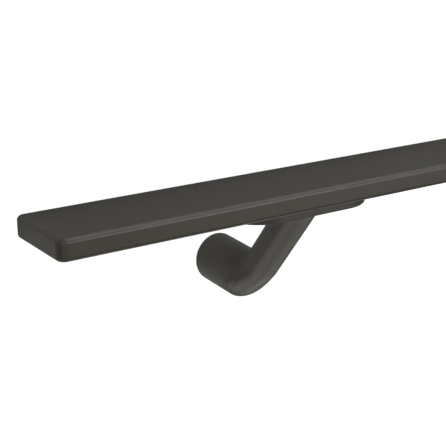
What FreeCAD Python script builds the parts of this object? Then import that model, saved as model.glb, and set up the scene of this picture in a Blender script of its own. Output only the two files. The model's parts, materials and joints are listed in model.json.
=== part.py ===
import FreeCAD, Part
import Sketcher
import math
import os

os.makedirs("parts", exist_ok=True)

# Driving dimensions, in millimetres and degrees: name, value, meaning
DIMENSIONS = [
    ("rail_length", 1219.2, "flat bar, stock length of four feet"),
    ("rail_width", 55.2, "flat bar, front edge to rear edge"),
    ("rail_thickness", 12.7, "flat bar, half an inch"),
    ("rail_edge_radius", 2.5, "rounding of the top and bottom edges"),
    ("rail_corner_radius", 5.2, "rounding of the four corners in plan"),
    ("bracket_inset", 168.0, "end of the bar to the middle of its bracket"),
    ("saddle_length", 101.6, "saddle plate along the bar"),
    ("saddle_width", 50.8, "saddle plate across the bar"),
    ("saddle_thickness", 4.0, "saddle plate"),
    ("saddle_edge_radius", 0.8, "rounding of the saddle plate's lower edge"),
    ("screw_inset", 13.0, "end of the saddle plate to its screw"),
    ("screw_diameter", 6.0, "screw thread, outside"),
    ("screw_length", 12.0, "screw, head face to tip"),
    ("screw_head_diameter", 11.4, "countersunk head"),
    ("screw_head_recess", 0.2, "head face below the plate's underside"),
    ("screw_socket_width", 4.0, "hexagon socket across flats"),
    ("screw_socket_depth", 1.9, "hexagon socket"),
    ("screw_clearance", 0.1, "gap around the thread"),
    ("rail_hole_depth", 10.0, "blind screw hole in the bar"),
    ("wall_reach", 82.2, "middle of the bar to the wall"),
    ("wall_leg_drop", 72.7, "top of the bar to the axis of the wall leg, at the wall"),
    ("wall_leg_slope_angle", 3.2, "rise of the wall leg towards the wall"),
    ("wall_leg_diameter", 33.4, "wall leg, the thick part of the arm"),
    ("wall_rim_radius", 1.5, "rounding of the arm's wall end"),
    ("bend_to_wall", 31.0, "middle of the arm's round bend to the wall"),
    ("arm_diameter", 22.4, "angled leg under the saddle plate"),
    ("arm_top_offset", 6.8, "arm's top in front of the bar's middle"),
    ("arm_lean_angle", 38.0, "angled leg from upright"),
    ("arm_length", 60.1, "angled leg, from the saddle plate down to where it flares into the bend"),
    ("wall_hole_diameter", 9.5, "threaded hole in the wall end"),
    ("wall_hole_depth", 26.0, "threaded hole in the wall end"),
]

# Places and lengths that follow from the driving dimensions
PLATE_UNDERSIDE = "-(Sizes.rail_thickness + Sizes.saddle_thickness)"
SCREW_STATION = "(Sizes.saddle_length / 2 - Sizes.screw_inset)"
SCREW_BORE = "(Sizes.screw_diameter + 2 * Sizes.screw_clearance)"
ARM_RADIUS = "(Sizes.arm_diameter / 2)"
WALL_LEG_RADIUS = "(Sizes.wall_leg_diameter / 2)"
ARM_END_Y = "(Sizes.arm_length * sin(Sizes.arm_lean_angle) - Sizes.arm_top_offset)"
ARM_END_Z = f"({PLATE_UNDERSIDE} - Sizes.arm_length * cos(Sizes.arm_lean_angle))"
BEND_Y = "(Sizes.wall_reach - Sizes.bend_to_wall)"
BEND_Z = "(-Sizes.wall_leg_drop - Sizes.bend_to_wall * tan(Sizes.wall_leg_slope_angle))"
FLARE_RUN = f"hypot({BEND_Y} - {ARM_END_Y}; {BEND_Z} - {ARM_END_Z})"
FLARE_TURN = f"atan2({ARM_END_Y} - {BEND_Y}; {BEND_Z} - {ARM_END_Z})"
FLARE_ANGLE = f"asin(({WALL_LEG_RADIUS} - {ARM_RADIUS}) / {FLARE_RUN})"

doc = FreeCAD.newDocument("stair_handrail_length")
sheet = doc.addObject("Spreadsheet::Sheet", "Sizes")
for row, (alias, value, meaning) in enumerate(DIMENSIONS, start=1):
    sheet.set(f"A{row}", meaning)
    sheet.set(f"B{row}", str(value))
    sheet.setAlias(f"B{row}", alias)
doc.recompute()


def size(alias):
    """Value of one driving dimension."""
    return float(sheet.get(alias))


def plane_of(body, role):
    """Origin plane of a body, such as XY_Plane."""
    return next(item for item in body.Origin.OriginFeatures if item.Role == role)


def new_body(label):
    """Empty body, named for its piece."""
    body = doc.addObject("PartDesign::Body", label)
    body.Label = label
    return body


def new_sketch(body, name, role, height=None):
    """Sketch on an origin plane, lifted off it by an expression if one is given."""
    sketch = body.newObject("Sketcher::SketchObject", name)
    sketch.AttachmentSupport = (plane_of(body, role), "")
    sketch.MapMode = "FlatFace"
    if height:
        sketch.setExpression("AttachmentOffset.Base.z", height)
    return sketch


def bind(sketch, name, constraint, expression):
    """Add a sketch constraint, name it and tie it to the sheet."""
    index = sketch.addConstraint(constraint)
    sketch.renameConstraint(index, name)
    sketch.setExpression(f"Constraints.{name}", expression)


def closed_outline(sketch, corners):
    """Closed outline of straight lines through these corners."""
    points = [FreeCAD.Vector(x, y, 0) for x, y in corners]
    for start, end in zip(points, points[1:] + points[:1]):
        sketch.addGeometry(Part.LineSegment(start, end), False)
    for line in range(len(points)):
        after = (line + 1) % len(points)
        sketch.addConstraint(Sketcher.Constraint("Coincident", line, 2, after, 1))


def rectangle(sketch, length, width):
    """Rectangle centred on the sketch's origin, its sides two names of the sheet."""
    x, y = size(length) / 2, size(width) / 2
    closed_outline(sketch, [(-x, -y), (x, -y), (x, y), (-x, y)])
    for line, direction in enumerate(["Horizontal", "Vertical", "Horizontal", "Vertical"]):
        sketch.addConstraint(Sketcher.Constraint(direction, line))
    sketch.addConstraint(Sketcher.Constraint("Symmetric", 0, 1, 2, 1, -1, 1))
    bind(sketch, "length", Sketcher.Constraint("DistanceX", 0, 1, 0, 2, 2 * x), f"Sizes.{length}")
    bind(sketch, "width", Sketcher.Constraint("DistanceY", 1, 1, 1, 2, 2 * y), f"Sizes.{width}")


def slot(sketch, length, width):
    """Outline with half-round ends, centred on the sketch's origin."""
    radius = size(width) / 2
    reach = size(length) / 2 - radius
    upward = FreeCAD.Vector(0, 0, 1)
    right_end = Part.Circle(FreeCAD.Vector(reach, 0, 0), upward, radius)
    left_end = Part.Circle(FreeCAD.Vector(-reach, 0, 0), upward, radius)
    lower = Part.LineSegment(FreeCAD.Vector(-reach, -radius, 0), FreeCAD.Vector(reach, -radius, 0))
    upper = Part.LineSegment(FreeCAD.Vector(reach, radius, 0), FreeCAD.Vector(-reach, radius, 0))
    right = Part.ArcOfCircle(right_end, -math.pi / 2, math.pi / 2)
    left = Part.ArcOfCircle(left_end, math.pi / 2, 3 * math.pi / 2)
    sketch.addGeometry([lower, right, upper, left], False)
    for first, end, second, start in ((0, 2, 1, 1), (1, 2, 2, 1), (2, 2, 3, 1), (3, 2, 0, 1)):
        sketch.addConstraint(Sketcher.Constraint("Tangent", first, end, second, start))
    sketch.addConstraint(Sketcher.Constraint("Horizontal", 0))
    sketch.addConstraint(Sketcher.Constraint("Symmetric", 1, 3, 3, 3, -1, 1))
    run = Sketcher.Constraint("DistanceX", 3, 3, 1, 3, 2 * reach)
    bind(sketch, "run", run, f"Sizes.{length} - Sizes.{width}")
    bind(sketch, "radius", Sketcher.Constraint("Radius", 1, radius), f"Sizes.{width} / 2")


def circle(sketch, name, x, y, diameter):
    """Circle at a point whose coordinates are expressions. An empty one lies on the axis."""
    apart = size("rail_thickness")
    start = FreeCAD.Vector(apart if x else 0, apart if y else 0, 0)
    index = sketch.addGeometry(Part.Circle(start, FreeCAD.Vector(0, 0, 1), apart), False)
    bind(sketch, f"{name}_diameter", Sketcher.Constraint("Diameter", index, 2 * apart), diameter)
    for way, expression in (("X", x), ("Y", y)):
        if expression:
            distance = Sketcher.Constraint(f"Distance{way}", -1, 1, index, 3, apart)
            bind(sketch, f"{name}_{way.lower()}", distance, expression)
        else:
            axis = -2 if way == "X" else -1
            sketch.addConstraint(Sketcher.Constraint("PointOnObject", index, 3, axis))


def hexagon(sketch, across_flats):
    """Regular hexagon around the sketch's origin, one corner on the horizontal axis."""
    radius = size(across_flats) / 2 / math.cos(math.pi / 6)
    turns = [step * math.pi / 3 for step in range(6)]
    closed_outline(sketch, [(radius * math.cos(turn), radius * math.sin(turn)) for turn in turns])
    ring = sketch.addGeometry(Part.Circle(FreeCAD.Vector(), FreeCAD.Vector(0, 0, 1), radius), True)
    sketch.addConstraint(Sketcher.Constraint("Coincident", ring, 3, -1, 1))
    for line in range(6):
        sketch.addConstraint(Sketcher.Constraint("PointOnObject", line, 1, ring))
    for line in range(1, 6):
        sketch.addConstraint(Sketcher.Constraint("Equal", 0, line))
    sketch.addConstraint(Sketcher.Constraint("PointOnObject", 0, 1, -1))
    corners = Sketcher.Constraint("Diameter", ring, 2 * radius)
    bind(sketch, "across_corners", corners, f"Sizes.{across_flats} / cos(30)")


def pad(body, name, sketch, length, down=False):
    """Solid above the sketch, or below it."""
    feature = body.newObject("PartDesign::Pad", name)
    feature.Profile = sketch
    feature.setExpression("Length", length)
    feature.Reversed = down
    return feature


def pocket(body, name, sketch, length, up=False):
    """Cut below the sketch, or above it, and stop if nothing was cut."""
    doc.recompute()
    before = body.Shape.Volume
    feature = body.newObject("PartDesign::Pocket", name)
    feature.Profile = sketch
    feature.setExpression("Length", length)
    feature.Reversed = up
    doc.recompute()
    if body.Shape.Volume >= before:
        raise RuntimeError(f"{name} cuts nothing")
    return feature


def dress_edges(body, kind, name, amount, wanted):
    """Fillet or chamfer the edges of the body's shape that a test picks."""
    doc.recompute()
    names = [f"Edge{i}" for i, edge in enumerate(body.Shape.Edges, start=1) if wanted(edge)]
    if not names:
        raise RuntimeError(f"{name} finds no edge")
    base = body.Tip
    feature = body.newObject(f"PartDesign::{kind}", name)
    feature.Base = (base, names)
    feature.setExpression("Radius" if kind == "Fillet" else "Size", amount)
    doc.recompute()
    return feature


def primitive(body, kind, name, sizes, y, z, turn):
    """Additive primitive whose sizes, place and turn about the bar's direction are expressions."""
    feature = body.newObject(f"PartDesign::Additive{kind}", name)
    feature.AttachmentSupport = (plane_of(body, "XY_Plane"), "")
    feature.MapMode = "FlatFace"
    leant = f"rotation(vector(1; 0; 0); {turn})"
    seam_behind = "rotation(vector(0; 0; 1); 90)"
    feature.setExpression("AttachmentOffset", f"placement(vector(0; {y}; {z}); {leant} * {seam_behind})")
    for quantity, expression in sizes.items():
        feature.setExpression(quantity, expression)
    doc.recompute()
    return feature


def near(value, target):
    """Whether two measures in millimetres are the same, as near as the shapes are worked out."""
    return math.isclose(value, target, abs_tol=1e-4)


def is_level_at(edge, height):
    """Whether an edge lies in the level plane at this height."""
    return all(near(vertex.Z, height) for vertex in edge.Vertexes)


def is_upright(edge):
    """Whether an edge is a straight vertical line."""
    box = edge.BoundBox
    return box.ZLength > box.XLength + box.YLength and near(box.XLength, 0) and near(box.YLength, 0)


def make_rail():
    """Flat bar: its top face lies at height 0, its middle at the origin."""
    body = new_body("rail_bar")
    outline = new_sketch(body, "rail_outline", "XY_Plane")
    rectangle(outline, "rail_length", "rail_width")
    pad(body, "rail_pad", outline, "Sizes.rail_thickness", down=True)
    dress_edges(body, "Fillet", "rail_corners", "Sizes.rail_corner_radius", is_upright)
    bottom = -size("rail_thickness")

    def on_a_flat(edge):
        return is_level_at(edge, 0) or is_level_at(edge, bottom)

    dress_edges(body, "Fillet", "rail_edges", "Sizes.rail_edge_radius", on_a_flat)
    holes = new_sketch(body, "rail_screw_holes", "XY_Plane", "-Sizes.rail_thickness")
    station = "(Sizes.rail_length / 2 - Sizes.bracket_inset)"
    for index, (side, end) in enumerate([("-", "-"), ("-", "+"), ("+", "-"), ("+", "+")], start=1):
        circle(holes, f"hole_{index}", f"{side}{station} {end} {SCREW_STATION}", None, SCREW_BORE)
    pocket(body, "rail_drilling", holes, "Sizes.rail_hole_depth", up=True)
    return body


def make_saddle(label):
    """Plate with half-round ends: its top face lies at height 0, its middle at the origin."""
    body = new_body(label)
    outline = new_sketch(body, "plate_outline", "XY_Plane")
    slot(outline, "saddle_length", "saddle_width")
    pad(body, "plate_pad", outline, "Sizes.saddle_thickness", down=True)
    bottom = -size("saddle_thickness")

    def at_the_bottom(edge):
        return is_level_at(edge, bottom)

    dress_edges(body, "Fillet", "plate_edge", "Sizes.saddle_edge_radius", at_the_bottom)
    holes = new_sketch(body, "plate_holes", "XY_Plane")
    for index, end in enumerate(["-", "+"], start=1):
        circle(holes, f"hole_{index}", f"{end}{SCREW_STATION}", None, SCREW_BORE)
    pocket(body, "plate_drilling", holes, "Sizes.saddle_thickness")
    bore = size("screw_diameter") / 2 + size("screw_clearance")

    def is_hole_mouth(edge):
        return is_level_at(edge, bottom) and hasattr(edge.Curve, "Radius") and near(edge.Curve.Radius, bore)

    cone = "(Sizes.screw_head_diameter - Sizes.screw_diameter) / 2"
    sunk = f"{cone} + Sizes.screw_head_recess - Sizes.screw_clearance"
    dress_edges(body, "Chamfer", "countersinks", sunk, is_hole_mouth)
    return body


def make_screw(label):
    """Countersunk screw: its head face lies at height 0 and its shank points up."""
    body = new_body(label)
    outline = new_sketch(body, "screw_outline", "XZ_Plane")
    head, shank = size("screw_head_diameter") / 2, size("screw_diameter") / 2
    length, tip = size("screw_length"), size("screw_diameter") / 6
    head_face = [(0, 0), (head, 0), (shank, head - shank)]
    shank_end = [(shank, length - tip), (shank - tip, length), (0, length)]
    closed_outline(outline, head_face + shank_end)
    outline.addConstraint(Sketcher.Constraint("Coincident", 0, 1, -1, 1))
    for line, direction in ((0, "Horizontal"), (2, "Vertical"), (4, "Horizontal"), (5, "Vertical")):
        outline.addConstraint(Sketcher.Constraint(direction, line))
    ties = [
        ("head_radius", "DistanceX", (0, 1, 0, 2), head, "Sizes.screw_head_diameter / 2"),
        ("shank_radius", "DistanceX", (0, 1, 1, 2), shank, "Sizes.screw_diameter / 2"),
        ("head_height", "DistanceY", (0, 1, 1, 2), head - shank,
         "(Sizes.screw_head_diameter - Sizes.screw_diameter) / 2"),
        ("length", "DistanceY", (0, 1, 4, 1), length, "Sizes.screw_length"),
        ("tip_rise", "DistanceY", (2, 2, 4, 1), tip, "Sizes.screw_diameter / 6"),
        ("tip_run", "DistanceX", (4, 1, 2, 2), tip, "Sizes.screw_diameter / 6"),
    ]
    for name, kind, ends, start, expression in ties:
        bind(outline, name, Sketcher.Constraint(kind, *ends, start), expression)
    turned = body.newObject("PartDesign::Revolution", "screw_turning")
    turned.Profile = outline
    turned.ReferenceAxis = (outline, ["V_Axis"])
    turned.Angle = 360
    socket = new_sketch(body, "screw_socket", "XY_Plane")
    hexagon(socket, "screw_socket_width")
    pocket(body, "socket_cut", socket, "Sizes.screw_socket_depth", up=True)
    return body


def make_arm(label):
    """Bent arm in the frame of the bar: height 0 is the bar's top, the origin its middle."""
    body = new_body(label)
    lean, slope = "Sizes.arm_lean_angle", "Sizes.wall_leg_slope_angle"
    angled_leg = {"Radius": ARM_RADIUS, "Height": f"Sizes.arm_length + 2 * {ARM_RADIUS}"}
    primitive(body, "Cylinder", "angled_leg", angled_leg, ARM_END_Y, ARM_END_Z, lean)
    primitive(body, "Sphere", "angled_leg_end", {"Radius": ARM_RADIUS}, ARM_END_Y, ARM_END_Z, lean)
    flare = {
        "Radius1": f"{ARM_RADIUS} * cos({FLARE_ANGLE})",
        "Radius2": f"{WALL_LEG_RADIUS} * cos({FLARE_ANGLE})",
        "Height": f"{FLARE_RUN} * cos({FLARE_ANGLE})^2",
    }
    flare_y = f"{ARM_END_Y} + {ARM_RADIUS} * sin({FLARE_ANGLE}) * sin({FLARE_TURN})"
    flare_z = f"{ARM_END_Z} - {ARM_RADIUS} * sin({FLARE_ANGLE}) * cos({FLARE_TURN})"
    primitive(body, "Cone", "flare", flare, flare_y, flare_z, FLARE_TURN)
    primitive(body, "Sphere", "bend", {"Radius": WALL_LEG_RADIUS}, BEND_Y, BEND_Z, f"{slope} - 90")
    wall_leg = {"Radius": WALL_LEG_RADIUS, "Height": f"Sizes.bend_to_wall / cos({slope}) + {WALL_LEG_RADIUS}"}
    primitive(body, "Cylinder", "wall_leg", wall_leg, BEND_Y, BEND_Z, f"{slope} - 90")
    top = new_sketch(body, "arm_top_cut", "XY_Plane", PLATE_UNDERSIDE)
    circle(top, "cut", None, "-Sizes.arm_top_offset", "4 * Sizes.arm_diameter")
    pocket(body, "arm_top", top, "2 * Sizes.arm_diameter", up=True)
    wall_end = new_sketch(body, "wall_end_cut", "XZ_Plane", "-Sizes.wall_reach")
    circle(wall_end, "cut", None, "-Sizes.wall_leg_drop", "2 * Sizes.wall_leg_diameter")
    pocket(body, "wall_end", wall_end, "Sizes.wall_leg_diameter")
    reach = size("wall_reach")

    def on_the_wall_face(edge):
        return all(near(vertex.Y, reach) for vertex in edge.Vertexes)

    dress_edges(body, "Fillet", "wall_rim", "Sizes.wall_rim_radius", on_the_wall_face)
    bore = new_sketch(body, "wall_bore", "XZ_Plane", "-Sizes.wall_reach")
    circle(bore, "bore", None, "-Sizes.wall_leg_drop", "Sizes.wall_hole_diameter")
    pocket(body, "wall_drilling", bore, "Sizes.wall_hole_depth", up=True)
    return body


def rest_placement():
    """Lying on its back: on the bar's rear top edge and the upper rims of the wall ends."""
    edge_radius, rim_radius = size("rail_edge_radius"), size("wall_rim_radius")
    slope = math.radians(size("wall_leg_slope_angle"))
    edge_y = size("rail_width") / 2 - edge_radius
    edge_z = -edge_radius
    rim_y = size("wall_reach") - rim_radius
    rim_z = (size("wall_leg_diameter") / 2 - rim_radius) / math.cos(slope) - rim_radius * math.tan(slope)
    run = rim_y - edge_y
    rise = rim_z - size("wall_leg_drop") - edge_z
    uneven = math.asin((edge_radius - rim_radius) / math.hypot(run, rise))
    outward = math.atan2(rise, run) + math.pi / 2 - uneven
    lift = edge_y * math.cos(outward) + edge_z * math.sin(outward) + edge_radius
    tip = FreeCAD.Rotation(FreeCAD.Vector(1, 0, 0), -90 - math.degrees(outward))
    half_turn = FreeCAD.Rotation(FreeCAD.Vector(0, 0, 1), 180)
    return FreeCAD.Placement(FreeCAD.Vector(0, 0, lift), half_turn.multiply(tip))


def make_pieces():
    """Every piece, with its place in the frame of the bar."""
    station = size("rail_length") / 2 - size("bracket_inset")
    screw_station = size("saddle_length") / 2 - size("screw_inset")
    plate_top = -size("rail_thickness")
    head_face = plate_top - size("saddle_thickness") + size("screw_head_recess")
    pieces = [(make_rail(), FreeCAD.Vector(0, 0, 0))]
    for name, side in (("near", -1), ("far", 1)):
        middle = side * station
        pieces.append((make_saddle(f"saddle_plate_{name}"), FreeCAD.Vector(middle, 0, plate_top)))
        pieces.append((make_arm(f"bracket_arm_{name}"), FreeCAD.Vector(middle, 0, 0)))
        for index, end in enumerate((-1, 1), start=1):
            place = FreeCAD.Vector(middle + end * screw_station, 0, head_face)
            pieces.append((make_screw(f"saddle_screw_{name}_{index}"), place))
    doc.recompute()
    return pieces


def lay_down(pieces):
    """Put the pieces in the rest pose, with the box's middle over the origin."""
    rest = rest_placement()
    for body, place in pieces:
        body.Placement = rest.multiply(FreeCAD.Placement(place, FreeCAD.Rotation()))
    doc.recompute()
    box = Part.makeCompound([body.Shape for body, place in pieces]).optimalBoundingBox(False)
    centred = FreeCAD.Placement(FreeCAD.Vector(0, -box.Center.y, 0), FreeCAD.Rotation())
    for body, place in pieces:
        body.Placement = centred.multiply(body.Placement)
    doc.recompute()


def main():
    pieces = make_pieces()
    lay_down(pieces)
    for item in doc.Objects:
        if "Invalid" in item.State or "Error" in item.State:
            raise RuntimeError(f"{item.Label} failed: {item.State}")
    for body, place in pieces:
        if body.Shape.isNull() or not body.Shape.isValid():
            raise RuntimeError(f"{body.Label} has no sound shape")
    for body, place in pieces:
        body.Shape.exportStep(f"parts/{body.Label}.step")


main()
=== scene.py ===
"""Dresses the stair handrail length: a flat bar with rounded edges on bent wall brackets, on its back."""

import json
import math

import bpy
from mathutils import Matrix, Vector, geometry


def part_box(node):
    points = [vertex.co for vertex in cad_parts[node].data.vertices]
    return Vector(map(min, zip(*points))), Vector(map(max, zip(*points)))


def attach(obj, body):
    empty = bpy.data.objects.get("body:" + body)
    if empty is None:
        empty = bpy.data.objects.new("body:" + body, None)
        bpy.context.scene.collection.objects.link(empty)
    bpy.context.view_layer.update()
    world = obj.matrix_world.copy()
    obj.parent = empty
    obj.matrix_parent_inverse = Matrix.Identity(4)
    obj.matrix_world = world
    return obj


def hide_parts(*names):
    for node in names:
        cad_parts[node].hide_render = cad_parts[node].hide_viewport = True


bl_info = {
    "name": "Stair Handrail Length",
    "version": (1, 0, 0),
    "blender": (4, 5, 0),
    "location": "View3D > Sidebar > Handrail",
    "description": "Finishes a flat handrail bar and its wall brackets, and sets up the stage and camera",
    "category": "Object",
}

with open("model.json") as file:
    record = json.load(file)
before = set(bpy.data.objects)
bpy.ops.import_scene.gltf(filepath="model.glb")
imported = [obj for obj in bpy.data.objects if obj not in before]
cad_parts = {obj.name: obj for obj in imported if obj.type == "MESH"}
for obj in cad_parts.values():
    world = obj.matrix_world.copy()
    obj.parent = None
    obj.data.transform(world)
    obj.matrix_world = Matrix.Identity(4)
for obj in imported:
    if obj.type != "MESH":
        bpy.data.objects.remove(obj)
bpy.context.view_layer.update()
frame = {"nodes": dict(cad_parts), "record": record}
MOUNTS = {mount["name"]: mount for mount in frame["record"]["mounts"]}
BRACKETS = ("near", "far")

# The bar's own frame in use: along it, towards the wall, and up out of its gripping face
GRIP_MIDDLE = Vector(MOUNTS["grip_face"]["pos_m"])
GRIP_UP = Vector(MOUNTS["grip_face"]["axis"]).normalized()
WALLWARD = Vector(MOUNTS["wall_bolt_near"]["axis"]).normalized()
ALONG = WALLWARD.cross(GRIP_UP)
IN_USE = Matrix((ALONG, WALLWARD, GRIP_UP)).transposed()
HALF_LENGTH = (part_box("rail_bar")[1].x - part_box("rail_bar")[0].x) / 2

# Rings of the arm. All lengths are in metres
RING_POINTS = 72
BEND_RINGS = 18
RIM_RINGS = 7
# The weld: how far below the saddle plate a ring lies, and how far the weld stands out there
WELD_RINGS = ((-0.0003, 0.0016), (0, 0.0016), (0.0005, 0.0006), (0.0012, 0.0002), (0.0022, 0))
# The angled leg: how far down it a ring lies, and by what part of the lean it still turns towards the plate
LEG_RINGS = ((0.0082, 0.5), (0.0135, 0), (0.028, 0), (0.044, 0))
# The bend: the part of it before its section starts to grow, and the length of that growth in whole bends
FLARE_START = 0.06
FLARE_RUN = 1.07
# The wall leg: how far from the wall a ring lies, and its tilt in slopes of the leg
WALL_LEG_RINGS = ((0.026, 2), (0.020, 1), (0.008, 1))
# The bolt hole's mouth: how far outside the thread a ring runs on the face round it, and its chamfer's size
MOUTH_RING = 0.0012
MOUTH_CHAMFER = 0.0005
MOUTH_DEPTH = 0.0012
# The thread: the part of the hole that it fills, and where in a turn its crest ends and its root lies
THREADED_PART = 0.75
CREST_END = 0.2
ROOT_PLACE = 0.6
# The hole's drilled point: what is left of the crest's radius at its tip
DRILL_TIP = 0.05
SMOOTH_ANGLE = math.radians(40)
# The parting line: how near a cut a point is taken to lie on it, for the cut and then for the push inwards
CUT_TOLERANCE = 0.00001
PUSH_TOLERANCE = 0.00002

# Coat: layers of noise in its swells and in its clouds, how many clouds lie in a metre, and how far they
# change the roughness and the tone
SWELL_LAYERS = 2.0
CLOUD_LAYERS = 4.0
CLOUDS = 22.0
CLOUD_GLOSS = 0.03
CLOUD_TONE = 0.06
# The swells as bumps: their strength and their depth
GRAIN_STRENGTH = 0.05
GRAIN_DEPTH = 0.0001

# Painted highlight along the edges: how much glossier the coat is under it, how many rags its border has in
# a metre, their layers of noise, how far they reach, and how far outside the faces it is cut off
HIGHLIGHT_GLOSS = 0.14
RAGS = 140.0
RAG_LAYERS = 3.0
RAGGEDNESS = 0.2
CUT_START = 0.0005
CUT_END = 0.001
# A point's depth under an edge is the sum of its depths under the two faces that meet there, each times the
# lean in its direction. The painted highlight is whole down to one such depth and ends at another
# Painted highlights: a paler band along the bar's edges, and a thin one round the rim of each wall leg
BAR_HIGHLIGHT = {"lean": (1, 0.65, 1.1), "whole_depth": 0.00125, "end_depth": 0.0016}
RIM_HIGHLIGHT = {"lean": (1, 1, 1), "whole_depth": 0.0009, "end_depth": 0.0016}
# Half the length of the stretch of wall leg that ends at the rim with its painted highlight
RIM_STRETCH = 0.05

# Screws: the size of their grain in swells of the coat, and how metallic they look
SCREW_GRAIN = 0.25
SCREW_METALLIC = 0.85

# Softboxes round the handrail: turn from the front towards the near end, height above the floor, both in
# degrees, then width, height and distance in metres, and power in watts
SOFTBOXES = {
    "front_far": (-38, 33, 1.6, 1.2, 3.0, 31),
    "front_near": (35, 35, 1.6, 1.2, 3.0, 15),
    "front_low": (-33, 6, 1.6, 0.4, 3.0, 7),
    "behind": (180, 42, 2.4, 1.6, 3.0, 8),
    "behind_near": (148, 28, 2.0, 1.6, 3.0, 12.5),
    "behind_far": (-150, 30, 1.6, 1.2, 3.0, 4.5),
}
# What the softboxes aim at: this part of the way from the handrail's middle to its near end
SOFTBOX_AIM = 0.7
WHITE = (1.0, 1.0, 1.0, 1.0)
# The floor lies this far under the handrail, so that they share no plane
FLOOR_GAP = 0.0002
# Camera: its sensor in millimetres, and the nearest and the farthest that it sees in metres
SENSOR_WIDTH = 36.0
CLIP_START = 0.01
CLIP_END = 200.0


def in_use_direction(x, y, z):
    """Direction given along the bar, towards the wall and up out of the grip, in the stored frame."""
    return ALONG * x + WALLWARD * y + GRIP_UP * z


def in_use_point(x, y, z):
    """Point measured from the middle of the bar's near end, on its gripping face, in the stored frame."""
    return GRIP_MIDDLE + in_use_direction(x - HALF_LENGTH, y, z)


def at_bracket(name, y, z):
    """Point of a bracket, given towards the wall and up from the gripping face, in the stored frame."""
    along = (Vector(MOUNTS[f"wall_bolt_{name}"]["pos_m"]) - GRIP_MIDDLE).dot(ALONG)
    return GRIP_MIDDLE + in_use_direction(along, y, z)


def millimetres(name, description, size, least=0):
    """Length property whose default and least value are given in millimetres."""
    return bpy.props.FloatProperty(
        name=name,
        description=description,
        subtype="DISTANCE",
        unit="LENGTH",
        min=least / 1000,
        default=size / 1000,
        precision=4,
    )


def degrees(name, description, angle):
    """Angle property whose default is given in degrees."""
    return bpy.props.FloatProperty(
        name=name,
        description=description,
        subtype="ANGLE",
        unit="ROTATION",
        default=math.radians(angle),
    )


def paint(name, description, colour):
    """Colour property."""
    return bpy.props.FloatVectorProperty(
        name=name,
        description=description,
        subtype="COLOR",
        size=3,
        min=0.0,
        max=1.0,
        default=colour,
    )


def factor(name, description, amount):
    """Number property that usually lies between nothing and one."""
    return bpy.props.FloatProperty(
        name=name,
        description=description,
        subtype="FACTOR",
        min=0.0,
        soft_max=1.0,
        default=amount,
    )


class HandrailFinish(bpy.types.PropertyGroup):
    """Colours and gloss of the coat and the screws."""

    coat_colour: paint("Coat colour", "Dark bronze of the powder coat", (0.0625, 0.0552, 0.0408))
    coat_roughness: factor("Coat roughness", "Satin gloss of the powder coat, lower is glossier", 0.40)
    # The arms' coat is the bar's coat painted lighter, in place of light on the arms
    arm_painted_light_colour: paint("Arm colour", "Same coat on the cast arms, painted lighter in place of light", (0.0925, 0.084, 0.063))
    # Paler colour painted along the edges and round the rims as a highlight
    highlight_colour: paint("Highlight colour", "Paler coat painted along the edges as a highlight", (0.15, 0.143, 0.128))
    peel_size: millimetres("Coat grain", "Width of one soft swell in the powder coat", 1.2, least=0.2)
    screw_colour: paint("Screw colour", "Dark oxide on the steel of the screws", (0.11, 0.10, 0.09))
    screw_roughness: factor("Screw roughness", "Gloss of the screws, lower is glossier", 0.34)


class HandrailBar(bpy.types.PropertyGroup):
    """Section of the flat bar."""

    width: millimetres("Bar width", "Width of the flat bar", 55.2)
    thickness: millimetres("Bar thickness", "Thickness of the flat bar", 12.7)


class HandrailArm(bpy.types.PropertyGroup):
    """Sizes of the bent arm, measured from the middle of the bar's gripping face."""

    plate_underside: millimetres("Plate underside", "Grip down to the saddle plate's underside", 16.7)
    top_offset: millimetres("Top offset", "How far the arm's top stands in front of the bar's middle", 6.8)
    leg_width: millimetres("Leg width", "Width of the angled leg", 22.4)
    wall_leg_width: millimetres("Wall leg width", "Width of the leg that meets the wall", 33.4)
    wall_reach: millimetres("Wall reach", "Middle of the bar to the wall", 82.2)
    wall_drop: millimetres("Wall drop", "Grip to the middle of the wall leg, at the wall", 72.7)
    lean: degrees("Lean", "Lean of the angled leg from upright", 38.0)
    slope: degrees("Slope", "Rise of the wall leg towards the wall", 3.2)
    crotch_rounding: millimetres("Crotch rounding", "Length of the curve inside the bend, each way", 1.5)
    heel_start: millimetres("Heel start", "Start of the bend's outside, above its corner", 29.9)
    heel_end: millimetres("Heel end", "End of the bend's outside, past its corner", 12.4)
    heel_fullness: bpy.props.FloatVectorProperty(
        name="Heel fullness",
        description="How closely the bend's outside follows its corner, on the leg and on the wall leg",
        size=2,
        min=0.0,
        max=1.0,
        default=(0.2, 0.61),
    )
    rim_rounding: millimetres("Rim rounding", "Rounding of the rim at the wall", 1.5)
    bolt_width: millimetres("Bolt hole width", "Threaded hole in the wall end", 9.5)
    bolt_depth: millimetres("Bolt hole depth", "Threaded hole in the wall end", 26.0)
    thread_pitch: millimetres("Thread pitch", "Distance between two turns of the thread", 1.5)
    seam_width: millimetres("Seam width", "Width of the arm's parting line", 0.8)
    seam_depth: millimetres("Seam depth", "Depth of the arm's parting line", 0.15)
    seam_shade: factor("Seam shade", "How much darker the coat is down in the parting line", 0.4)


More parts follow.
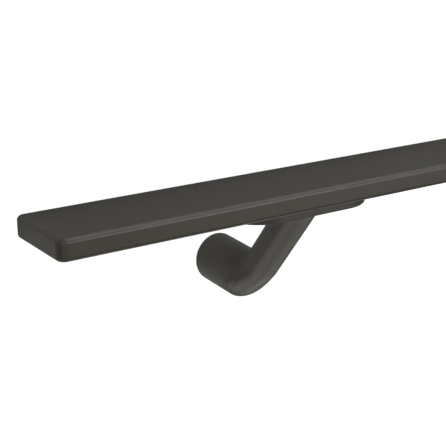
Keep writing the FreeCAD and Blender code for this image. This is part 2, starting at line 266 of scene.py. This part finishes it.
class HandrailStage(bpy.types.PropertyGroup):
    """Camera, floor and light."""

    camera_ahead: millimetres("Camera past the end", "How far it stands past the near end", 219.96)
    camera_aside: millimetres("Camera beside the bar", "How far it stands before the bar's middle", 496.19)
    camera_above: millimetres("Camera off the grip", "How far it stands out from the grip", 171.83)
    camera_heading: degrees("Camera heading", "Turn from straight across the bar to its far end", 34.26)
    camera_pitch: degrees("Camera pitch", "How steeply the view looks down onto the gripping face", 17.611)
    lens: bpy.props.FloatProperty(
        name="Lens",
        description="Focal length on a sensor 36 mm wide",
        subtype="DISTANCE_CAMERA",
        min=10.0,
        default=87.17,
    )
    floor_width: millimetres("Floor width", "Width of the pale floor", 60000)
    floor_colour: paint("Floor colour", "Pale floor", (0.86, 0.86, 0.86))
    sky_strength: factor("Sky strength", "Even light from all round", 0.10)
    softbox_level: factor("Softbox level", "Strength of all the softboxes together", 1.0)
    floor_glow: factor("Floor glow", "Even white that the camera sees on the floor and behind it", 0.9)
    floor_brightness: factor("Floor brightness", "Light on the floor that is added for the camera", 0.6)


def new_material(name):
    """Node material with its Principled shader and its texture coordinates."""
    material = bpy.data.materials.new(name)
    material.use_nodes = True
    shader = material.node_tree.nodes["Principled BSDF"]
    coordinates = material.node_tree.nodes.new("ShaderNodeTexCoord")
    coordinates.location = (-900, 0)
    return material, shader, coordinates


def new_group(name, inputs, outputs):
    """Node group with sockets of the given kinds, with its nodes that give inputs and take outputs."""
    group = bpy.data.node_groups.new(name, "ShaderNodeTree")
    for direction, sockets in (("INPUT", inputs), ("OUTPUT", outputs)):
        for socket, kind in sockets.items():
            group.interface.new_socket(socket, in_out=direction, socket_type=f"NodeSocket{kind}")
    return group, group.nodes.new("NodeGroupInput"), group.nodes.new("NodeGroupOutput")


def new_math(tree, operation, *inputs):
    """Math node whose inputs are sockets or plain numbers."""
    node = tree.nodes.new("ShaderNodeMath")
    node.operation = operation
    for index, value in enumerate(inputs):
        if isinstance(value, bpy.types.NodeSocket):
            tree.links.new(value, node.inputs[index])
        else:
            node.inputs[index].default_value = value
    return node.outputs[0]


def new_vector_math(tree, operation, *inputs):
    """Vector math node whose inputs are sockets or plain vectors."""
    node = tree.nodes.new("ShaderNodeVectorMath")
    node.operation = operation
    for index, value in enumerate(inputs):
        if isinstance(value, bpy.types.NodeSocket):
            tree.links.new(value, node.inputs[index])
        else:
            node.inputs[index].default_value = value
    return node


def new_noise(tree, position, scale, layers):
    """Noise over a position. Its scale is a socket or a plain number."""
    noise = tree.nodes.new("ShaderNodeTexNoise")
    noise.inputs["Detail"].default_value = layers
    tree.links.new(position, noise.inputs["Vector"])
    if isinstance(scale, bpy.types.NodeSocket):
        tree.links.new(scale, noise.inputs["Scale"])
    else:
        noise.inputs["Scale"].default_value = scale
    return noise.outputs["Fac"]


def new_range(tree, value, low, high):
    """Value from nothing to one, spread from a low to a high number."""
    spread = tree.nodes.new("ShaderNodeMapRange")
    spread.inputs["To Min"].default_value = low
    spread.inputs["To Max"].default_value = high
    tree.links.new(value, spread.inputs["Value"])
    return spread.outputs["Result"]


def coat_grain_group():
    """Node group for a sprayed and baked coat: soft swells, slight changes of gloss and tone, and a painted
    highlight.
    """
    inputs = {
        "Position": "Vector",
        "Colour": "Color",
        "Roughness": "Float",
        "Swell size": "Float",
        "Highlight mask": "Float",
        "Highlight colour": "Color",
    }
    outputs = {"Colour": "Color", "Roughness": "Float", "Height": "Float"}
    group, given, result = new_group("coat_grain", inputs, outputs)
    position, highlight_mask = given.outputs["Position"], given.outputs["Highlight mask"]
    per_metre = new_math(group, "DIVIDE", 1.0, given.outputs["Swell size"])
    swell = new_noise(group, position, per_metre, SWELL_LAYERS)
    cloud = new_noise(group, position, CLOUDS, CLOUD_LAYERS)
    gloss = new_range(group, cloud, -CLOUD_GLOSS, CLOUD_GLOSS)
    roughness = new_math(group, "ADD", given.outputs["Roughness"], gloss)
    edge_band = new_math(group, "MULTIPLY_ADD", highlight_mask, -HIGHLIGHT_GLOSS, roughness)
    tone = new_range(group, cloud, 1 - CLOUD_TONE, 1 + CLOUD_TONE)
    # Painted highlight: the paler colour wherever the highlight mask is
    highlighted_colour = group.nodes.new("ShaderNodeMix")
    highlighted_colour.data_type = "RGBA"
    group.links.new(highlight_mask, highlighted_colour.inputs["Factor"])
    group.links.new(given.outputs["Colour"], highlighted_colour.inputs["A"])
    group.links.new(given.outputs["Highlight colour"], highlighted_colour.inputs["B"])
    toned = new_vector_math(group, "SCALE", highlighted_colour.outputs["Result"])
    group.links.new(tone, toned.inputs["Scale"])
    group.links.new(toned.outputs[0], result.inputs["Colour"])
    group.links.new(edge_band, result.inputs["Roughness"])
    group.links.new(swell, result.inputs["Height"])
    return group


def edge_highlight_mask_group():
    """Node group that marks the edges of a block or a drum, where a highlight is painted on the coat."""
    inputs = {
        "Position": "Vector",
        "Half size": "Vector",
        "Lean": "Vector",
        "End depth": "Float",
        "Whole depth": "Float",
    }
    group, given, result = new_group("edge_highlight_mask", inputs, {"Highlight mask": "Float"})
    position, links = given.outputs["Position"], group.links
    inside = new_vector_math(group, "ABSOLUTE", position).outputs[0]
    height = new_vector_math(group, "SUBTRACT", inside, given.outputs["Half size"]).outputs[0]
    leaning = new_vector_math(group, "MULTIPLY", height, given.outputs["Lean"]).outputs[0]
    parts = group.nodes.new("ShaderNodeSeparateXYZ")
    links.new(leaning, parts.inputs[0])
    x, y, z = parts.outputs
    total = new_math(group, "ADD", new_math(group, "ADD", x, y), z)
    lowest = new_math(group, "MINIMUM", new_math(group, "MINIMUM", x, y), z)
    highest = new_math(group, "MAXIMUM", new_math(group, "MAXIMUM", x, y), z)
    over_edge = new_math(group, "SUBTRACT", total, lowest)
    rags = new_noise(group, position, RAGS, RAG_LAYERS)
    ragged = new_range(group, rags, 1 - RAGGEDNESS, 1 + RAGGEDNESS)
    fade = group.nodes.new("ShaderNodeMapRange")
    fade.interpolation_type = "SMOOTHSTEP"
    links.new(new_math(group, "MULTIPLY", over_edge, ragged), fade.inputs["Value"])
    links.new(new_math(group, "MULTIPLY", given.outputs["End depth"], -1.0), fade.inputs["From Min"])
    links.new(new_math(group, "MULTIPLY", given.outputs["Whole depth"], -1.0), fade.inputs["From Max"])
    cut_off = group.nodes.new("ShaderNodeMapRange")
    cut_off.inputs["From Min"].default_value = CUT_START
    cut_off.inputs["From Max"].default_value = CUT_END
    cut_off.inputs["To Min"].default_value = 1.0
    cut_off.inputs["To Max"].default_value = 0.0
    links.new(highest, cut_off.inputs["Value"])
    highlight_mask = new_math(group, "MULTIPLY", fade.outputs["Result"], cut_off.outputs["Result"])
    links.new(highlight_mask, result.inputs["Highlight mask"])
    return group


def place_grain(material, shader, position, colour, roughness, swell_size):
    """Put the coat's grain in a material, and give its node."""
    nodes, links = material.node_tree.nodes, material.node_tree.links
    grain = nodes.new("ShaderNodeGroup")
    grain.node_tree = bpy.data.node_groups.get("coat_grain") or coat_grain_group()
    grain.inputs["Colour"].default_value = (*colour, 1.0)
    grain.inputs["Roughness"].default_value = roughness
    grain.inputs["Swell size"].default_value = swell_size
    links.new(position, grain.inputs["Position"])
    links.new(grain.outputs["Colour"], shader.inputs["Base Color"])
    links.new(grain.outputs["Roughness"], shader.inputs["Roughness"])
    bump = nodes.new("ShaderNodeBump")
    bump.inputs["Strength"].default_value = GRAIN_STRENGTH
    bump.inputs["Distance"].default_value = GRAIN_DEPTH
    links.new(grain.outputs["Height"], bump.inputs["Height"])
    links.new(bump.outputs["Normal"], shader.inputs["Normal"])
    return grain


def bronze_coat(name, look, colour):
    """Satin dark bronze powder coat."""
    material, shader, coordinates = new_material(name)
    position = coordinates.outputs["Object"]
    place_grain(material, shader, position, colour, look.coat_roughness, look.peel_size)
    return material


class EdgeHighlight:
    """Where a highlight is painted on a coat: the middle and half sizes of a block or drum, and the band
    along its edges.
    """

    def __init__(self, middle, half, lean, whole_depth, end_depth, is_drum=False):
        self.middle = middle
        self.half = half
        self.lean = lean
        self.whole_depth = whole_depth
        self.end_depth = end_depth
        self.is_drum = is_drum


def out_and_along(tree, position):
    """Position on a drum that lies along Y: how far out from its axis, as X, and how far along it, as Y."""
    parts = tree.nodes.new("ShaderNodeSeparateXYZ")
    drum = tree.nodes.new("ShaderNodeCombineXYZ")
    flat = new_vector_math(tree, "MULTIPLY", position, (1, 0, 1)).outputs[0]
    out = new_vector_math(tree, "LENGTH", flat).outputs["Value"]
    tree.links.new(position, parts.inputs[0])
    tree.links.new(out, drum.inputs["X"])
    tree.links.new(parts.outputs["Y"], drum.inputs["Y"])
    return drum.outputs[0]


def highlighted_coat(name, look, colour, highlight_band):
    """Bronze coat with a painted highlight, a little lighter along the edges of a block or round the rim of
    a drum.
    """
    material, shader, coordinates = new_material(name)
    tree, place = material.node_tree, coordinates.outputs["Object"]
    grain = place_grain(material, shader, place, colour, look.coat_roughness, look.peel_size)
    local = tree.nodes.new("ShaderNodeMapping")
    local.vector_type = "TEXTURE"
    local.inputs["Location"].default_value = highlight_band.middle
    local.inputs["Rotation"].default_value = IN_USE.to_euler()
    tree.links.new(place, local.inputs["Vector"])
    position = local.outputs["Vector"]
    if highlight_band.is_drum:
        position = out_and_along(tree, position)
    highlight_mask = tree.nodes.new("ShaderNodeGroup")
    highlight_mask.node_tree = bpy.data.node_groups.get("edge_highlight_mask") or edge_highlight_mask_group()
    tree.links.new(position, highlight_mask.inputs["Position"])
    highlight_mask.inputs["Half size"].default_value = highlight_band.half
    highlight_mask.inputs["Lean"].default_value = highlight_band.lean
    highlight_mask.inputs["End depth"].default_value = highlight_band.end_depth
    highlight_mask.inputs["Whole depth"].default_value = highlight_band.whole_depth
    tree.links.new(highlight_mask.outputs["Highlight mask"], grain.inputs["Highlight mask"])
    grain.inputs["Highlight colour"].default_value = (*look.highlight_colour, 1.0)
    return material


def darken_parting_line(material, arm):
    """Paint shade into the arm's parting line, which lies in one plane through the leg: the coat is darker
    down in it.
    """
    tree = material.node_tree
    shader, coordinates = tree.nodes["Principled BSDF"], tree.nodes["Texture Coordinate"]
    across = in_use_direction(0, math.cos(arm.lean), math.sin(arm.lean))
    on_plane = GRIP_MIDDLE + in_use_direction(0, -arm.top_offset, -arm.plate_underside)
    away = new_vector_math(tree, "DOT_PRODUCT", coordinates.outputs["Object"], across).outputs["Value"]
    offset = new_math(tree, "SUBTRACT", away, on_plane.dot(across))
    shade = tree.nodes.new("ShaderNodeMapRange")
    shade.interpolation_type = "SMOOTHSTEP"
    shade.inputs["From Max"].default_value = arm.seam_width
    shade.inputs["To Min"].default_value = 1 - arm.seam_shade
    tree.links.new(new_math(tree, "ABSOLUTE", offset), shade.inputs["Value"])
    coat = shader.inputs["Base Color"].links[0].from_socket
    darker = new_vector_math(tree, "SCALE", coat)
    tree.links.new(shade.outputs["Result"], darker.inputs["Scale"])
    tree.links.new(darker.outputs[0], shader.inputs["Base Color"])


def dark_steel(name, look):
    """Dark oxide steel of the screws, turned and then blackened."""
    material, shader, coordinates = new_material(name)
    grain_size = look.peel_size * SCREW_GRAIN
    position, roughness = coordinates.outputs["Object"], look.screw_roughness
    place_grain(material, shader, position, look.screw_colour, roughness, grain_size)
    shader.inputs["Metallic"].default_value = SCREW_METALLIC
    return material


def give_material(node_name, material):
    """Put one material on every slot of a node."""
    mesh = frame["nodes"][node_name].data
    if not mesh.materials:
        mesh.materials.append(material)
    for index in range(len(mesh.materials)):
        mesh.materials[index] = material


class HANDRAIL_OT_bar(bpy.types.Operator):
    """Give the flat bar its bronze coat, with a painted highlight along its edges"""

    bl_idname = "handrail.bar"
    bl_label = "Finish the Bar"

    def execute(self, context):
        look = context.scene.handrail_finish
        bar = context.scene.handrail_bar
        half = Vector((HALF_LENGTH, bar.width / 2, bar.thickness / 2))
        edge_band = EdgeHighlight(GRIP_MIDDLE - GRIP_UP * half.z, half, **BAR_HIGHLIGHT)
        give_material("rail_bar", highlighted_coat("rail_bronze_coat", look, look.coat_colour, edge_band))
        return {"FINISHED"}


class Ring:
    """Section of the arm: its middle, its tilt from upright, and its half sizes across and in height."""

    def __init__(self, middle, tilt, across, high):
        self.middle = middle
        self.tilt = tilt
        self.across = across
        self.high = high


def side_point(y, z):
    """Point or direction in the arm's side view."""
    return Vector((0, y, z))


class SideView:
    """The arm's main points and directions, seen from the side."""

    def __init__(self, arm):
        self.top = side_point(-arm.top_offset, -arm.plate_underside)
        self.wall = side_point(arm.wall_reach, -arm.wall_drop)
        self.down = side_point(math.sin(arm.lean), -math.cos(arm.lean))
        self.inward = side_point(math.cos(arm.lean), math.sin(arm.lean))
        self.wallward = side_point(math.cos(arm.slope), math.sin(arm.slope))
        self.upward = side_point(-math.sin(arm.slope), math.cos(arm.slope))


def crossing(first, first_way, second, second_way):
    """Point where two lines of the arm's side view meet."""
    return geometry.intersect_line_line(first, first + first_way, second, second + second_way)[0]


def rings_on_leg(arm):
    """Rings from inside the saddle plate down the angled leg, with a small weld round its top."""
    side, radius, square = SideView(arm), arm.leg_width / 2, arm.lean - math.pi / 2
    rings = []
    for depth, weld in WELD_RINGS:
        middle = side.top + side.down * depth / math.cos(arm.lean)
        rings.append(Ring(middle, -math.pi / 2, radius + weld, radius / math.cos(arm.lean) + weld))
    for run, part in LEG_RINGS:
        turned = arm.lean * part
        rings.append(Ring(side.top + side.down * run, square - turned, radius, radius / math.cos(turned)))
    return rings


def rings_on_bend(arm):
    """Rings that fan round the crotch of the bend, while the section grows to the wall leg's."""
    side, leg, wall_leg = SideView(arm), arm.leg_width / 2, arm.wall_leg_width / 2
    half_leg, half_wall_leg = side.inward * leg, side.upward * wall_leg
    crotch = crossing(side.top + half_leg, side.down, side.wall + half_wall_leg, side.wallward)
    heel = crossing(side.top - half_leg, side.down, side.wall - half_wall_leg, side.wallward)
    leg_slack, wall_slack = (1 - fullness for fullness in arm.heel_fullness)
    crotch_start = crotch - side.down * arm.crotch_rounding
    crotch_end = crotch + side.wallward * arm.crotch_rounding
    inner_line = geometry.interpolate_bezier(crotch_start, crotch, crotch, crotch_end, BEND_RINGS)
    outer_line = geometry.interpolate_bezier(
        heel - side.down * arm.heel_start,
        heel - side.down * arm.heel_start * leg_slack,
        heel + side.wallward * arm.heel_end * wall_slack,
        heel + side.wallward * arm.heel_end,
        BEND_RINGS,
    )
    rings = []
    for step, (inner, outer) in enumerate(zip(inner_line, outer_line)):
        grown = max(0, step / (BEND_RINGS - 1) - FLARE_START) / FLARE_RUN
        flare = grown * grown * (3 - 2 * grown)
        height = inner - outer
        tilt = math.atan2(-height.y, height.z)
        rings.append(Ring((inner + outer) / 2, tilt, leg + (wall_leg - leg) * flare, height.length / 2))
    return rings


def rings_on_wall_leg(arm):
    """Rings along the wall leg, then round its rim onto the face that meets the wall."""
    side, radius, rim = SideView(arm), arm.wall_leg_width / 2, arm.rim_rounding
    rings = []
    for run, slopes in WALL_LEG_RINGS:
        tilt = arm.slope * slopes
        high = radius / math.cos(tilt - arm.slope)
        rings.append(Ring(side.wall - side.wallward * run, tilt, radius, high))
    for step in range(RIM_RINGS):
        turn = math.pi / 2 * step / (RIM_RINGS - 1)
        size = radius - rim * (1 - math.cos(turn))
        rings.append(Ring(side.wall - side.wallward * rim * (1 - math.sin(turn)), 0, size, size))
    return rings


def rings_down_the_hole(arm):
    """Rings over the hole's chamfer, down its thread and to its drilled point."""
    wall, pitch = SideView(arm).wall, arm.thread_pitch
    root = arm.bolt_width / 2
    crest = root - pitch / 2
    sizes = [(0, root + MOUTH_RING), (0, root + MOUTH_CHAMFER), (MOUTH_DEPTH, crest)]
    for turn in range(int(arm.bolt_depth * THREADED_PART / pitch)):
        start = MOUTH_DEPTH + turn * pitch
        sizes += [(start + CREST_END * pitch, crest), (start + ROOT_PLACE * pitch, root)]
        sizes.append((start + pitch, crest))
    sizes += [(arm.bolt_depth, crest), (arm.bolt_depth + crest / 2, crest * DRILL_TIP)]
    return [Ring(wall - side_point(depth, 0), 0, size, size) for depth, size in sizes]


def turn_ring(angle, middle):
    """Turn what is chosen about a line along the bar. Without a window the tool turns the other way."""
    bpy.ops.transform.rotate(value=-angle, orient_axis="X", center_override=middle)


def reshape_ring(last, ring):
    """Bring the chosen ring from the last one's place, tilt and size to its own."""
    turn_ring(-last.tilt, last.middle)
    sizes = (ring.across / last.across, 1, ring.high / last.high)
    bpy.ops.transform.resize(value=sizes, center_override=last.middle)
    turn_ring(ring.tilt, last.middle)
    bpy.ops.transform.translate(value=ring.middle - last.middle)


def tube_through(name, rings):
    """Round tube through a row of rings, closed at both ends."""
    bpy.ops.object.select_all(action="DESELECT")
    bpy.ops.mesh.primitive_circle_add(vertices=RING_POINTS, radius=1, rotation=(math.pi / 2, 0, 0))
    tube = bpy.context.object
    tube.name = name
    bpy.ops.object.transform_apply(location=True, rotation=True, scale=True)
    bpy.ops.object.mode_set(mode="EDIT")
    bpy.ops.mesh.select_mode(type="EDGE")
    bpy.ops.mesh.select_all(action="SELECT")
    last = Ring(Vector((0, 0, 0)), 0, 1, 1)
    for index, ring in enumerate(rings):
        if index > 0:
            bpy.ops.mesh.extrude_edges_move()
        reshape_ring(last, ring)
        last = ring
    bpy.ops.mesh.fill()
    bpy.ops.mesh.select_all(action="DESELECT")
    bpy.ops.mesh.select_non_manifold()
    bpy.ops.mesh.fill()
    bpy.ops.mesh.select_all(action="SELECT")
    bpy.ops.mesh.normals_make_consistent(inside=False)
    bpy.ops.object.mode_set(mode="OBJECT")
    return tube


def cut_parting_line(tube, arm):
    """Shallow groove in the plane through the middle of the angled leg, where a mould's two halves meet."""
    side = SideView(arm)
    bpy.ops.object.mode_set(mode="EDIT")
    for offset in (-arm.seam_width / 2, 0, arm.seam_width / 2):
        bpy.ops.mesh.select_all(action="SELECT")
        on_plane = side.top + side.inward * offset
        bpy.ops.mesh.bisect(plane_co=on_plane, plane_no=side.inward, threshold=CUT_TOLERANCE)
    bpy.ops.mesh.select_mode(type="VERT")
    bpy.ops.mesh.select_all(action="DESELECT")
    bpy.ops.object.mode_set(mode="OBJECT")
    for vertex in tube.data.vertices:
        vertex.select = abs((vertex.co - side.top).dot(side.inward)) < PUSH_TOLERANCE
    bpy.ops.object.mode_set(mode="EDIT")
    bpy.ops.transform.shrink_fatten(value=-arm.seam_depth)
    bpy.ops.object.mode_set(mode="OBJECT")


def stand_at_bracket(piece, name):
    """Move a piece modelled about the bar's middle to its bracket, and keep the place in its mesh."""
    piece.matrix_world = Matrix.Translation(at_bracket(name, 0, 0)) @ IN_USE.to_4x4()
    bpy.ops.object.select_all(action="DESELECT")
    piece.select_set(True)
    bpy.context.view_layer.objects.active = piece
    bpy.ops.object.transform_apply(location=True, rotation=True, scale=True)


class HANDRAIL_OT_arms(bpy.types.Operator):
    """Model one bent arm ring by ring, and stand a copy of it at each bracket"""

    bl_idname = "handrail.arms"
    bl_label = "Model the Arms"

    def execute(self, context):
        arm = context.scene.handrail_arm
        look = context.scene.handrail_finish
        rings = rings_on_leg(arm) + rings_on_bend(arm) + rings_on_wall_leg(arm) + rings_down_the_hole(arm)
        pattern = tube_through("bent_arm_near", rings)
        cut_parting_line(pattern, arm)
        bpy.ops.object.shade_smooth_by_angle(angle=SMOOTH_ANGLE)
        copy = pattern.copy()
        copy.data = pattern.data.copy()
        copy.name = "bent_arm_far"
        context.scene.collection.objects.link(copy)
        # A drum has no third direction, so its faces there are put a metre off, where they add no painted
        # highlight
        half = Vector((arm.wall_leg_width / 2, RIM_STRETCH, 1))
        for piece, name in zip((pattern, copy), BRACKETS):
            stand_at_bracket(piece, name)
            middle = at_bracket(name, arm.wall_reach - RIM_STRETCH, -arm.wall_drop)
            # Painted highlight round the rim at the wall
            rim = EdgeHighlight(middle, half, **RIM_HIGHLIGHT, is_drum=True)
            # The arm's coat is painted lighter than the bar's, in place of light on the arms
            coat = highlighted_coat(f"arm_bronze_coat_{name}", look, look.arm_painted_light_colour, rim)
            # Painted shade down in the parting line
            darken_parting_line(coat, arm)
            piece.data.materials.append(coat)
            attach(piece, "root")
            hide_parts(f"bracket_arm_{name}")
        return {"FINISHED"}


class HANDRAIL_OT_brackets(bpy.types.Operator):
    """Give the saddle plates and their screws their coat"""

    bl_idname = "handrail.brackets"
    bl_label = "Finish the Brackets"

    def execute(self, context):
        look = context.scene.handrail_finish
        plate = bronze_coat("plate_bronze_coat", look, look.coat_colour)
        screw = dark_steel("screw_dark_steel", look)
        for name in BRACKETS:
            give_material(f"saddle_plate_{name}", plate)
            for index in (1, 2):
                give_material(f"saddle_screw_{name}_{index}", screw)
        return {"FINISHED"}


def new_shader(tree, kind, **values):
    """Shader node of a kind, with plain values on its inputs."""
    node = tree.nodes.new(f"ShaderNode{kind}")
    for name, value in values.items():
        node.inputs[name].default_value = value
    return node.outputs[0]


def split_for_camera(tree, plain, seen, surface):
    """Give a surface one shader for the camera and a plain one for every other ray."""
    ray = tree.nodes.new("ShaderNodeLightPath")
    choice = tree.nodes.new("ShaderNodeMixShader")
    tree.links.new(ray.outputs["Is Camera Ray"], choice.inputs["Fac"])
    tree.links.new(plain, choice.inputs[1])
    tree.links.new(seen, choice.inputs[2])
    tree.links.new(choice.outputs["Shader"], surface)


class HANDRAIL_OT_stage(bpy.types.Operator):
    """Lay the floor, hang the lights and set the camera"""

    bl_idname = "handrail.stage"
    bl_label = "Set the Stage"

    def execute(self, context):
        stage = context.scene.handrail_stage
        self.lay_floor(stage)
        self.light_all_round(context.scene, stage)
        for name, (turn, height, width, tall, distance, power) in SOFTBOXES.items():
            softbox = bpy.data.lights.new(f"softbox_{name}", "AREA")
            softbox.shape = "RECTANGLE"
            softbox.size, softbox.size_y = width, tall
            softbox.energy = power * stage.softbox_level
            self.hang(context.scene, softbox, math.radians(turn), math.radians(height), distance)
        self.set_camera(context.scene, stage)
        return {"FINISHED"}

    def lay_floor(self, stage):
        """Pale floor that fades into an even white for the camera."""
        bpy.ops.object.select_all(action="DESELECT")
        bpy.ops.mesh.primitive_plane_add(size=stage.floor_width, location=(0, 0, -FLOOR_GAP))
        floor = bpy.context.object
        floor.name = "pale_floor"
        bpy.ops.object.transform_apply(location=True, rotation=True, scale=True)
        material = bpy.data.materials.new("pale_floor")
        material.use_nodes = True
        tree, colour = material.node_tree, Vector(stage.floor_colour)
        tree.nodes.remove(tree.nodes["Principled BSDF"])
        plain = new_shader(tree, "BsdfDiffuse", Color=(*colour, 1.0))
        bright = new_shader(tree, "BsdfDiffuse", Color=(*(colour * stage.floor_brightness), 1.0))
        glow = new_shader(tree, "Emission", Strength=stage.floor_glow)
        seen = tree.nodes.new("ShaderNodeAddShader")
        tree.links.new(glow, seen.inputs[0])
        tree.links.new(bright, seen.inputs[1])
        split_for_camera(tree, plain, seen.outputs[0], tree.nodes["Material Output"].inputs["Surface"])
        floor.data.materials.append(material)

    def light_all_round(self, scene, stage):
        """Faint even light, behind which the camera sees the floor's white."""
        world = bpy.data.worlds.new("studio")
        world.use_nodes = True
        tree = world.node_tree
        tree.nodes.remove(tree.nodes["Background"])
        even = new_shader(tree, "Background", Color=WHITE, Strength=stage.sky_strength)
        seen = new_shader(tree, "Background", Color=WHITE, Strength=stage.floor_glow)
        split_for_camera(tree, even, seen, tree.nodes["World Output"].inputs["Surface"])
        scene.world = world

    def hang(self, scene, light, turn, height, distance):
        """Hang a light at an angle round the handrail, turned to it, where the camera doesn't see it."""
        level = math.cos(height)
        away = Vector((math.sin(turn) * level, -math.cos(turn) * level, math.sin(height)))
        lamp = bpy.data.objects.new(light.name, light)
        lamp.location = Vector((HALF_LENGTH * SOFTBOX_AIM, 0, 0)) + away * distance
        lamp.rotation_euler = away.to_track_quat("Z", "Y").to_euler()
        lamp.visible_camera = False
        scene.collection.objects.link(lamp)

    def set_camera(self, scene, stage):
        """Camera past the bar's near end, with the photograph's view of the bar and its near bracket."""
        place = in_use_point(-stage.camera_ahead, -stage.camera_aside, stage.camera_above)
        heading, pitch = stage.camera_heading, stage.camera_pitch
        level = math.cos(pitch)
        sight = in_use_direction(math.sin(heading) * level, math.cos(heading) * level, -math.sin(pitch))
        right = sight.cross(GRIP_UP).normalized()
        turned = Matrix((right, right.cross(sight), -sight)).transposed()
        lens = bpy.data.cameras.new("photograph_camera")
        lens.sensor_width = SENSOR_WIDTH
        lens.lens = stage.lens
        lens.clip_start = CLIP_START
        lens.clip_end = CLIP_END
        camera = bpy.data.objects.new("photograph_camera", lens)
        scene.collection.objects.link(camera)
        camera.matrix_world = Matrix.Translation(place) @ turned.to_4x4()
        scene.camera = camera


class HANDRAIL_PT_panel(bpy.types.Panel):
    """Sizes, colours and steps of the handrail"""

    bl_idname = "HANDRAIL_PT_panel"
    bl_label = "Stair Handrail"
    bl_space_type = "VIEW_3D"
    bl_region_type = "UI"
    bl_category = "Handrail"

    def draw(self, context):
        layout = self.layout
        scene = context.scene
        groups = {
            "Bar": scene.handrail_bar,
            "Arm": scene.handrail_arm,
            "Finish": scene.handrail_finish,
            "Stage": scene.handrail_stage,
        }
        for heading, group in groups.items():
            box = layout.box()
            box.label(text=heading)
            for name in group.__annotations__:
                box.prop(group, name)
        for operator in STEPS:
            layout.operator(operator.bl_idname)


STEPS = (HANDRAIL_OT_bar, HANDRAIL_OT_arms, HANDRAIL_OT_brackets, HANDRAIL_OT_stage)
CLASSES = (HandrailBar, HandrailArm, HandrailFinish, HandrailStage, *STEPS, HANDRAIL_PT_panel)


def register():
    """Add the classes and the scene's properties."""
    for item in CLASSES:
        bpy.utils.register_class(item)
    bpy.types.Scene.handrail_bar = bpy.props.PointerProperty(type=HandrailBar)
    bpy.types.Scene.handrail_arm = bpy.props.PointerProperty(type=HandrailArm)
    bpy.types.Scene.handrail_finish = bpy.props.PointerProperty(type=HandrailFinish)
    bpy.types.Scene.handrail_stage = bpy.props.PointerProperty(type=HandrailStage)


def unregister():
    """Take the properties and the classes away again."""
    del bpy.types.Scene.handrail_stage
    del bpy.types.Scene.handrail_finish
    del bpy.types.Scene.handrail_arm
    del bpy.types.Scene.handrail_bar
    for item in reversed(CLASSES):
        bpy.utils.unregister_class(item)


def main():
    """Build every piece and the stage."""
    register()
    bpy.context.scene.view_settings.view_transform = "Standard"
    bpy.ops.handrail.bar()
    bpy.ops.handrail.arms()
    bpy.ops.handrail.brackets()
    bpy.ops.handrail.stage()


if __name__ == "__main__":
    main()
